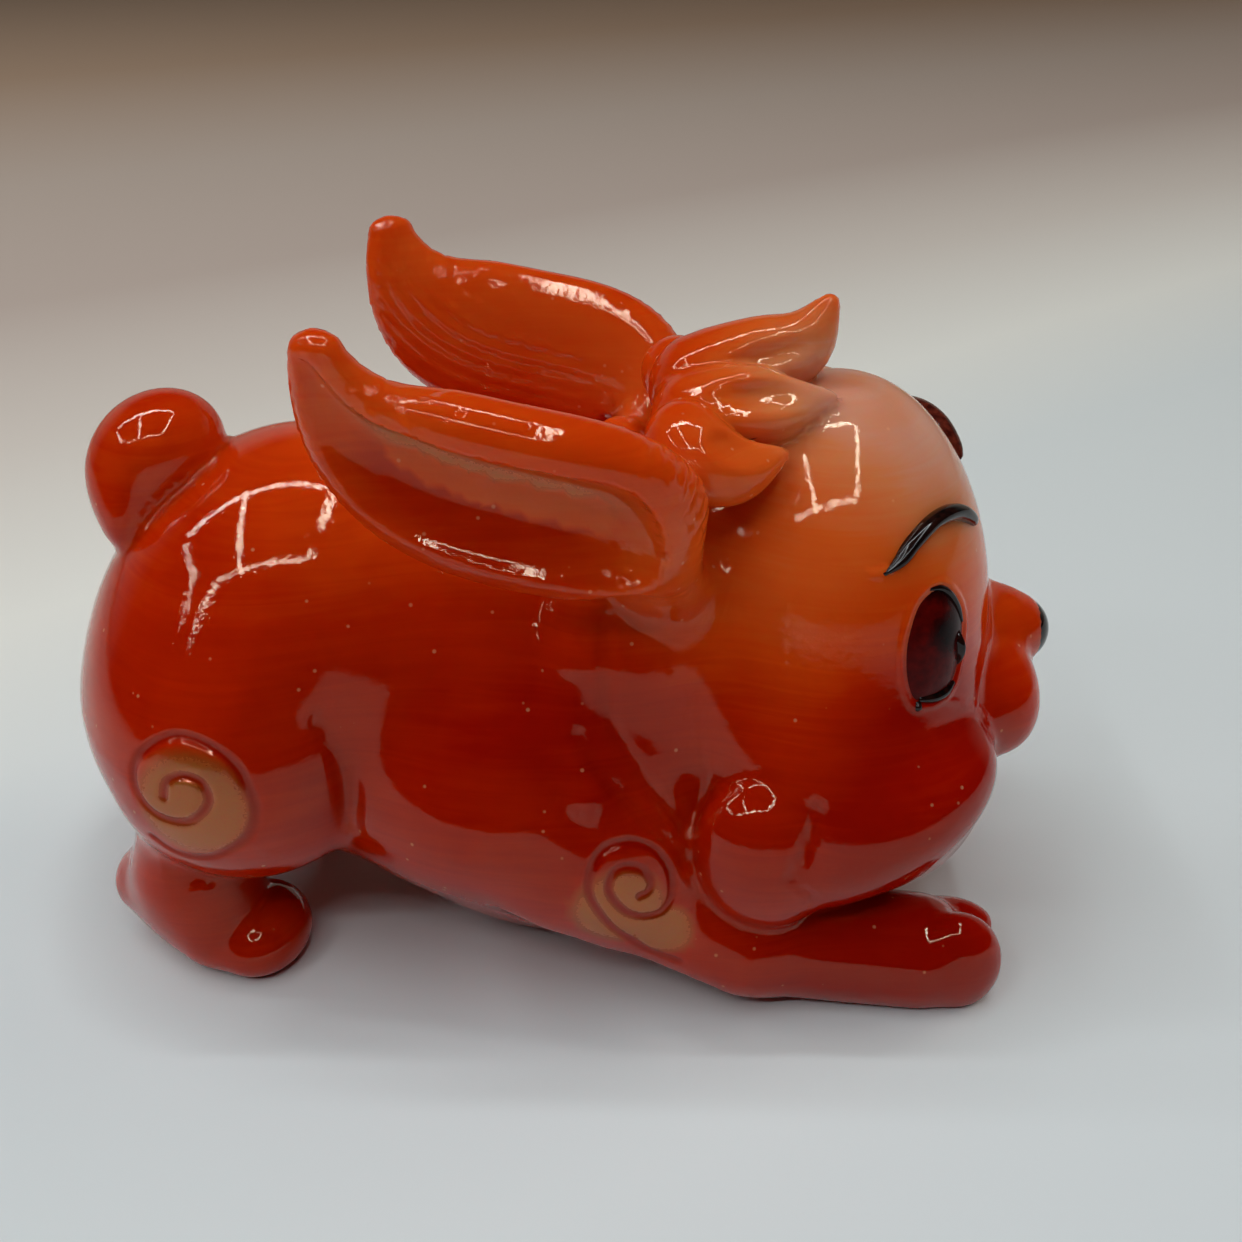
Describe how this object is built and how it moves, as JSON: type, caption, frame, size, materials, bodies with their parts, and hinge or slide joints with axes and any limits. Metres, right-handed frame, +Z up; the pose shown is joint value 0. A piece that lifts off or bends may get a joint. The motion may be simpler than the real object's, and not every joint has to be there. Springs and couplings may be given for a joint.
{
  "type": "rabbit figurine",
  "caption": "Crouching rabbit ornament cast in one piece of glossy tinted resin, with swept-back hollow ears, round tail and outstretched forelegs; stands on its belly and feet.",
  "frame": {"origin": "on the surface the figure lies on, under the middle of its outline", "axes": "+X the way the rabbit faces, along its length; +Y to its left side; +Z up"},
  "size_m": [0.0875, 0.0462, 0.0612],
  "materials": {
    "resin": "clear-coated, translucent orange to deep red, with black and gold painted details"
  },
  "bodies": {
    "root": {"rabbit": "resin"}
  },
  "joints": []
}
